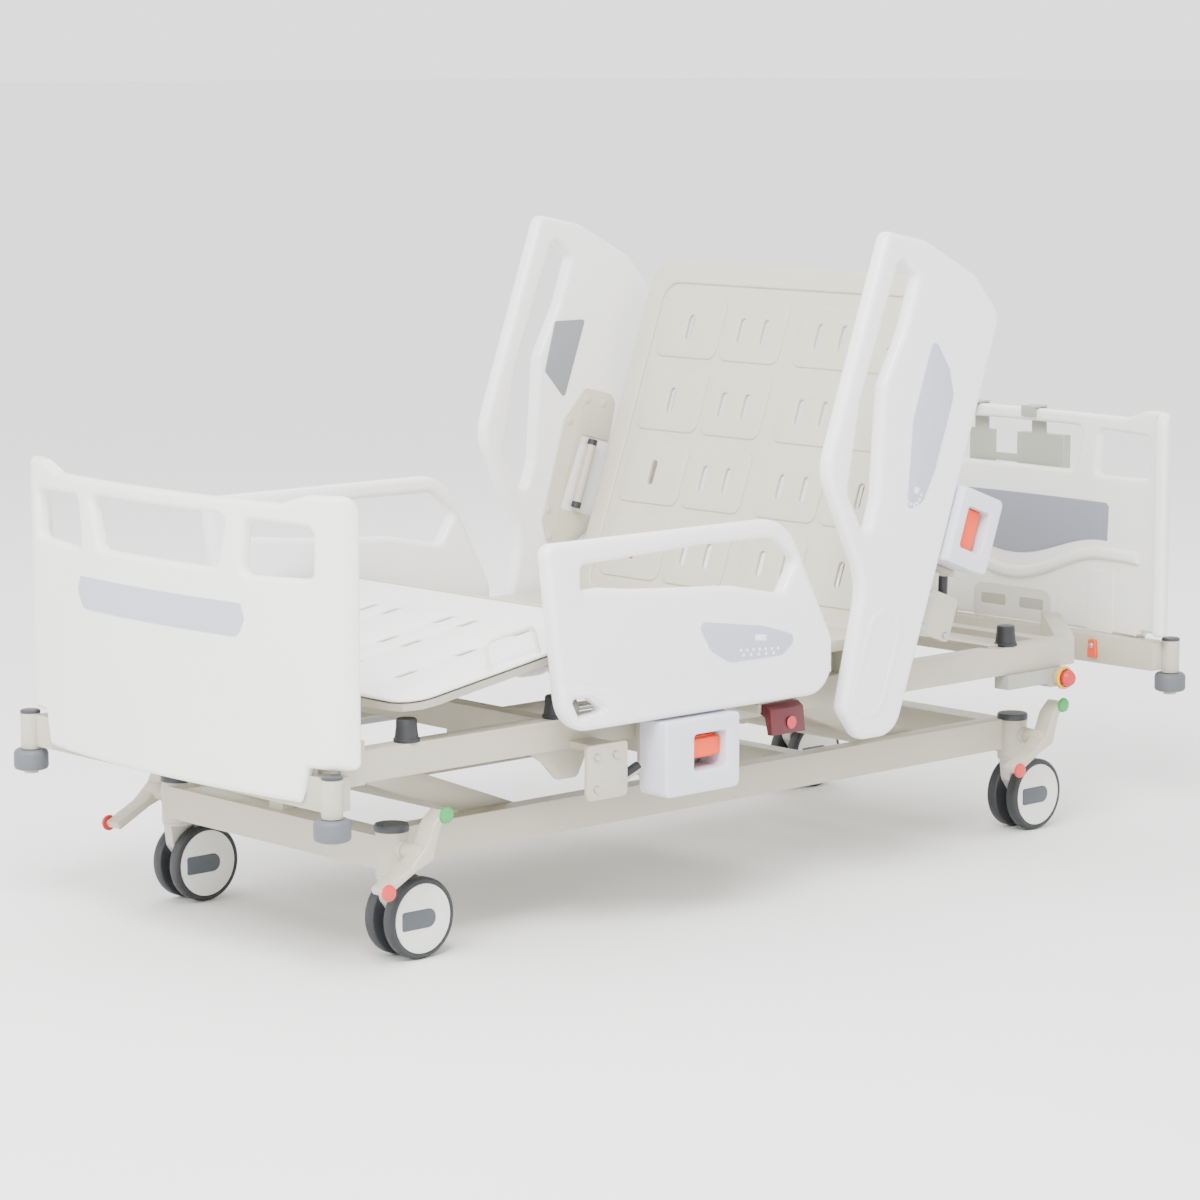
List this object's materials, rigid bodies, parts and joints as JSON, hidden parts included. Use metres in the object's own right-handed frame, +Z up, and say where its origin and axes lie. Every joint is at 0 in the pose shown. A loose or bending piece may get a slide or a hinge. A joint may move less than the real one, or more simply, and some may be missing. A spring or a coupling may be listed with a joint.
{
  "type": "adjustable hospital bed",
  "caption": "Adjustable hospital bed with raised back section, lifted knee section, drop-down side rails, bowed end boards and casters.",
  "frame": {"origin": "centre of the footprint on the floor", "axes": "+X from the foot end to the head end, +Y to the right of a patient lying on their back, +Z up"},
  "size_m": [2.3975, 1.06, 1.2785],
  "materials": {
    "cream_steel": "satin cream paint",
    "deck_plastic": "fine matt cream",
    "white_deck_plastic": "fine matt white",
    "white_rail_plastic": "satin moulded white",
    "lavender_link_plastic": "satin pale lavender",
    "orange_latch": "satin orange",
    "tyre_rubber": "matt black",
    "caster_plastic": "satin grey-white",
    "bumper_rubber": "matt grey",
    "actuator_plastic": "satin black",
    "polished_rod": "polished",
    "dark_red_lever": "satin dark red",
    "stop_yellow": "satin yellow",
    "stop_red": "satin red",
    "control_grey": "satin olive grey"
  },
  "bodies": {
    "base": {"base_frame": "cream_steel", "foot_lift_actuator_housing": "actuator_plastic", "head_lift_actuator_housing": "actuator_plastic"},
    "upper": {"upper_frame": "cream_steel", "seat_deck": "deck_plastic", "back_actuator_housing": "actuator_plastic", "knee_actuator_housing": "actuator_plastic", "emergency_stop_body": "stop_yellow", "siderail_damper_foot_left": "cream_steel", "siderail_damper_foot_right": "cream_steel"},
    "back": {"back_frame": "cream_steel", "back_deck": "deck_plastic", "siderail_damper_head_left": "cream_steel", "siderail_damper_head_right": "cream_steel"},
    "thigh": {"thigh_deck": "deck_plastic"},
    "calf": {"calf_deck": "white_deck_plastic"},
    "footboard": {"footboard": "white_rail_plastic"},
    "headboard": {"headboard": "white_rail_plastic", "hand_control": "control_grey"},
    "lift_arm_foot": {"lift_arm_foot": "cream_steel"},
    "lift_arm_head": {"lift_arm_head": "cream_steel"},
    "foot_lift_rod": {"foot_lift_actuator_rod": "polished_rod"},
    "head_lift_rod": {"head_lift_actuator_rod": "polished_rod"},
    "back_rod": {"back_actuator_rod": "polished_rod"},
    "knee_rod": {"knee_actuator_rod": "polished_rod"},
    "stop_button": {"emergency_stop_button": "stop_red"},
    "caster_foot_left": {"caster_swivel_foot_left": "caster_plastic"},
    "wheel_foot_left": {"caster_wheel_foot_left": "tyre_rubber"},
    "pedal_foot_left": {"brake_pedal_foot_left": "cream_steel"},
    "caster_foot_right": {"caster_swivel_foot_right": "caster_plastic"},
    "wheel_foot_right": {"caster_wheel_foot_right": "tyre_rubber"},
    "pedal_foot_right": {"brake_pedal_foot_right": "cream_steel"},
    "caster_head_left": {"caster_swivel_head_left": "caster_plastic"},
    "wheel_head_left": {"caster_wheel_head_left": "tyre_rubber"},
    "pedal_head_left": {"brake_pedal_head_left": "cream_steel"},
    "caster_head_right": {"caster_swivel_head_right": "caster_plastic"},
    "wheel_head_right": {"caster_wheel_head_right": "tyre_rubber"},
    "pedal_head_right": {"brake_pedal_head_right": "cream_steel"},
    "bumper_foot_left": {"bumper_roller_foot_left": "bumper_rubber"},
    "bumper_foot_right": {"bumper_roller_foot_right": "bumper_rubber"},
    "bumper_head_left": {"bumper_roller_head_left": "bumper_rubber"},
    "bumper_head_right": {"bumper_roller_head_right": "bumper_rubber"},
    "rail_link_foot_left": {"siderail_link_foot_left": "lavender_link_plastic", "latch_housing_foot_left": "lavender_link_plastic"},
    "rail_foot_left": {"siderail_foot_left": "white_rail_plastic"},
    "latch_foot_left": {"latch_handle_foot_left": "orange_latch"},
    "rail_link_foot_right": {"siderail_link_foot_right": "lavender_link_plastic", "latch_housing_foot_right": "lavender_link_plastic"},
    "rail_foot_right": {"siderail_foot_right": "white_rail_plastic"},
    "latch_foot_right": {"latch_handle_foot_right": "orange_latch"},
    "rail_link_head_left": {"siderail_link_head_left": "lavender_link_plastic", "latch_housing_head_left": "lavender_link_plastic"},
    "rail_head_left": {"siderail_head_left": "white_rail_plastic"},
    "latch_head_left": {"latch_handle_head_left": "orange_latch"},
    "rail_link_head_right": {"siderail_link_head_right": "lavender_link_plastic", "latch_housing_head_right": "lavender_link_plastic"},
    "rail_head_right": {"siderail_head_right": "white_rail_plastic"},
    "latch_head_right": {"latch_handle_head_right": "orange_latch"},
    "cpr_left": {"cpr_lever_left": "dark_red_lever"},
    "cpr_right": {"cpr_lever_right": "dark_red_lever"}
  },
  "joints": [
    {"name": "swivel_foot_left", "type": "hinge", "parent": "base", "child": "caster_foot_left", "pos_m": [-0.91475, -0.321, 0.158], "axis": [0, 0, 1], "continuous": true},
    {"name": "roll_foot_left", "type": "hinge", "parent": "caster_foot_left", "child": "wheel_foot_left", "pos_m": [-0.87475, -0.321, 0.075], "axis": [0, 1, 0], "continuous": true},
    {"name": "brake_foot_left", "type": "hinge", "parent": "base", "child": "pedal_foot_left", "pos_m": [-0.91475, -0.4, 0.206], "axis": [0, 1, 0], "range_deg": [-15, 15]},
    {"name": "swivel_foot_right", "type": "hinge", "parent": "base", "child": "caster_foot_right", "pos_m": [-0.91475, 0.321, 0.158], "axis": [0, 0, 1], "continuous": true},
    {"name": "roll_foot_right", "type": "hinge", "parent": "caster_foot_right", "child": "wheel_foot_right", "pos_m": [-0.87475, 0.321, 0.075], "axis": [0, 1, 0], "continuous": true},
    {"name": "brake_foot_right", "type": "hinge", "parent": "base", "child": "pedal_foot_right", "pos_m": [-0.91475, 0.4, 0.206], "axis": [0, 1, 0], "range_deg": [-15, 15]},
    {"name": "swivel_head_left", "type": "hinge", "parent": "base", "child": "caster_head_left", "pos_m": [0.77625, -0.321, 0.158], "axis": [0, 0, 1], "continuous": true},
    {"name": "roll_head_left", "type": "hinge", "parent": "caster_head_left", "child": "wheel_head_left", "pos_m": [0.81625, -0.321, 0.075], "axis": [0, 1, 0], "continuous": true},
    {"name": "brake_head_left", "type": "hinge", "parent": "base", "child": "pedal_head_left", "pos_m": [0.77625, -0.4, 0.206], "axis": [0, 1, 0], "range_deg": [-15, 15]},
    {"name": "swivel_head_right", "type": "hinge", "parent": "base", "child": "caster_head_right", "pos_m": [0.77625, 0.321, 0.158], "axis": [0, 0, 1], "continuous": true},
    {"name": "roll_head_right", "type": "hinge", "parent": "caster_head_right", "child": "wheel_head_right", "pos_m": [0.81625, 0.321, 0.075], "axis": [0, 1, 0], "continuous": true},
    {"name": "brake_head_right", "type": "hinge", "parent": "base", "child": "pedal_head_right", "pos_m": [0.77625, 0.4, 0.206], "axis": [0, 1, 0], "range_deg": [-15, 15]},
    {"name": "lift", "type": "hinge", "parent": "base", "child": "lift_arm_foot", "pos_m": [-0.56375, 0, 0.205], "axis": [0, 1, 0], "range_deg": [-1.5, 42]},
    {"name": "lift_head", "type": "hinge", "parent": "base", "child": "lift_arm_head", "pos_m": [0.53625, 0, 0.205], "axis": [0, 1, 0], "range_deg": [-1.5, 42]},
    {"name": "lift_upper", "type": "hinge", "parent": "lift_arm_foot", "child": "upper", "pos_m": [-1.01375, 0, 0.375], "axis": [0, 1, 0], "range_deg": [-42, 1.5]},
    {"name": "foot_lift_stroke", "type": "slide", "parent": "base", "child": "foot_lift_rod", "axis": [1, 0, 0], "range_m": [-0.003, 0.06]},
    {"name": "head_lift_stroke", "type": "slide", "parent": "base", "child": "head_lift_rod", "axis": [1, 0, 0], "range_m": [-0.003, 0.06]},
    {"name": "back_raise", "type": "hinge", "parent": "upper", "child": "back", "pos_m": [0.25625, 0, 0.45], "axis": [0, -1, 0], "range_deg": [-70, 5]},
    {"name": "back_stroke", "type": "slide", "parent": "upper", "child": "back_rod", "axis": [1, 0, 0], "range_m": [-0.118, 0.011]},
    {"name": "knee_raise", "type": "hinge", "parent": "upper", "child": "thigh", "pos_m": [-0.08875, 0, 0.455], "axis": [0, 1, 0], "range_deg": [-15, 20]},
    {"name": "calf_follow", "type": "hinge", "parent": "thigh", "child": "calf", "pos_m": [-0.43648, 0, 0.54817], "axis": [0, 1, 0], "range_deg": [-33, 25]},
    {"name": "knee_stroke", "type": "slide", "parent": "upper", "child": "knee_rod", "axis": [1, 0, 0], "range_m": [-0.037, 0.028]},
    {"name": "bumper_foot_left_turn", "type": "hinge", "parent": "upper", "child": "bumper_foot_left", "pos_m": [-1.15775, -0.455, 0.2918], "axis": [0, 0, 1], "continuous": true},
    {"name": "bumper_foot_right_turn", "type": "hinge", "parent": "upper", "child": "bumper_foot_right", "pos_m": [-1.15775, 0.455, 0.2918], "axis": [0, 0, 1], "continuous": true},
    {"name": "bumper_head_left_turn", "type": "hinge", "parent": "upper", "child": "bumper_head_left", "pos_m": [1.13025, -0.455, 0.2918], "axis": [0, 0, 1], "continuous": true},
    {"name": "bumper_head_right_turn", "type": "hinge", "parent": "upper", "child": "bumper_head_right", "pos_m": [1.13025, 0.455, 0.2918], "axis": [0, 0, 1], "continuous": true},
    {"name": "footboard_lift", "type": "slide", "parent": "upper", "child": "footboard", "axis": [0, 0, 1], "range_m": [0, 0.08]},
    {"name": "headboard_lift", "type": "slide", "parent": "upper", "child": "headboard", "axis": [0, 0, 1], "range_m": [0, 0.08]},
    {"name": "stop_press", "type": "slide", "parent": "upper", "child": "stop_button", "axis": [0, 1, 0], "range_m": [0, 0.0045], "stiffness_N_per_m": 600},
    {"name": "rail_drop_foot_left", "type": "hinge", "parent": "upper", "child": "rail_link_foot_left", "pos_m": [-0.31675, -0.44, 0.285], "axis": [1, 0, 0], "range_deg": [0, 130]},
    {"name": "rail_level_foot_left", "type": "hinge", "parent": "rail_link_foot_left", "child": "rail_foot_left", "pos_m": [-0.31675, -0.465, 0.445], "axis": [1, 0, 0], "range_deg": [-130, 0]},
    {"name": "latch_pull_foot_left", "type": "hinge", "parent": "rail_link_foot_left", "child": "latch_foot_left", "pos_m": [-0.31575, -0.492, 0.353], "axis": [-1, 0, 0], "range_deg": [0, 20], "stiffness_Nm_per_rad": 0.25},
    {"name": "rail_drop_foot_right", "type": "hinge", "parent": "upper", "child": "rail_link_foot_right", "pos_m": [-0.31675, 0.44, 0.285], "axis": [-1, 0, 0], "range_deg": [0, 130]},
    {"name": "rail_level_foot_right", "type": "hinge", "parent": "rail_link_foot_right", "child": "rail_foot_right", "pos_m": [-0.31675, 0.465, 0.445], "axis": [-1, 0, 0], "range_deg": [-130, 0]},
    {"name": "latch_pull_foot_right", "type": "hinge", "parent": "rail_link_foot_right", "child": "latch_foot_right", "pos_m": [-0.31575, 0.492, 0.353], "axis": [1, 0, 0], "range_deg": [0, 20], "stiffness_Nm_per_rad": 0.25},
    {"name": "rail_drop_head_left", "type": "hinge", "parent": "back", "child": "rail_link_head_left", "pos_m": [0.46256, -0.44, 0.66596], "axis": [0.342, 0, 0.9397], "range_deg": [0, 130]},
    {"name": "rail_level_head_left", "type": "hinge", "parent": "rail_link_head_left", "child": "rail_head_left", "pos_m": [0.34509, -0.465, 0.70872], "axis": [0.342, 0, 0.9397], "range_deg": [-130, 0]},
    {"name": "latch_pull_head_left", "type": "hinge", "parent": "rail_link_head_left", "child": "latch_head_left", "pos_m": [0.39695, -0.492, 0.69037], "axis": [-0.342, 0, -0.9397], "range_deg": [0, 20], "stiffness_Nm_per_rad": 0.25},
    {"name": "rail_drop_head_right", "type": "hinge", "parent": "back", "child": "rail_link_head_right", "pos_m": [0.46256, 0.44, 0.66596], "axis": [-0.342, 0, -0.9397], "range_deg": [0, 130]},
    {"name": "rail_level_head_right", "type": "hinge", "parent": "rail_link_head_right", "child": "rail_head_right", "pos_m": [0.34509, 0.465, 0.70872], "axis": [-0.342, 0, -0.9397], "range_deg": [-130, 0]},
    {"name": "latch_pull_head_right", "type": "hinge", "parent": "rail_link_head_right", "child": "latch_head_right", "pos_m": [0.39695, 0.492, 0.69037], "axis": [0.342, 0, 0.9397], "range_deg": [0, 20], "stiffness_Nm_per_rad": 0.25},
    {"name": "cpr_pull_left", "type": "hinge", "parent": "upper", "child": "cpr_left", "pos_m": [-0.08525, -0.47, 0.385], "axis": [-1, 0, 0], "range_deg": [0, 25], "stiffness_Nm_per_rad": 0.5},
    {"name": "cpr_pull_right", "type": "hinge", "parent": "upper", "child": "cpr_right", "pos_m": [-0.08525, 0.47, 0.385], "axis": [1, 0, 0], "range_deg": [0, 25], "stiffness_Nm_per_rad": 0.5}
  ],
  "couplings": [
    {"joint": "brake_foot_right", "follows": "brake_foot_left", "ratio": 1},
    {"joint": "brake_head_left", "follows": "brake_foot_left", "ratio": 1},
    {"joint": "brake_head_right", "follows": "brake_foot_left", "ratio": 1},
    {"joint": "lift_head", "follows": "lift", "ratio": 1},
    {"joint": "lift_upper", "follows": "lift", "ratio": -1},
    {"joint": "foot_lift_stroke", "follows": "lift", "m_per_rad": 0.0781},
    {"joint": "head_lift_stroke", "follows": "lift", "m_per_rad": 0.0781},
    {"joint": "back_stroke", "follows": "back_raise", "m_per_rad": 0.093},
    {"joint": "calf_follow", "follows": "knee_raise", "ratio": -1.6227},
    {"joint": "knee_stroke", "follows": "knee_raise", "m_per_rad": -0.0984},
    {"joint": "rail_level_foot_left", "follows": "rail_drop_foot_left", "ratio": -1},
    {"joint": "rail_level_foot_right", "follows": "rail_drop_foot_right", "ratio": -1},
    {"joint": "rail_level_head_left", "follows": "rail_drop_head_left", "ratio": -1},
    {"joint": "rail_level_head_right", "follows": "rail_drop_head_right", "ratio": -1},
    {"joint": "cpr_pull_right", "follows": "cpr_pull_left", "ratio": 1}
  ]
}
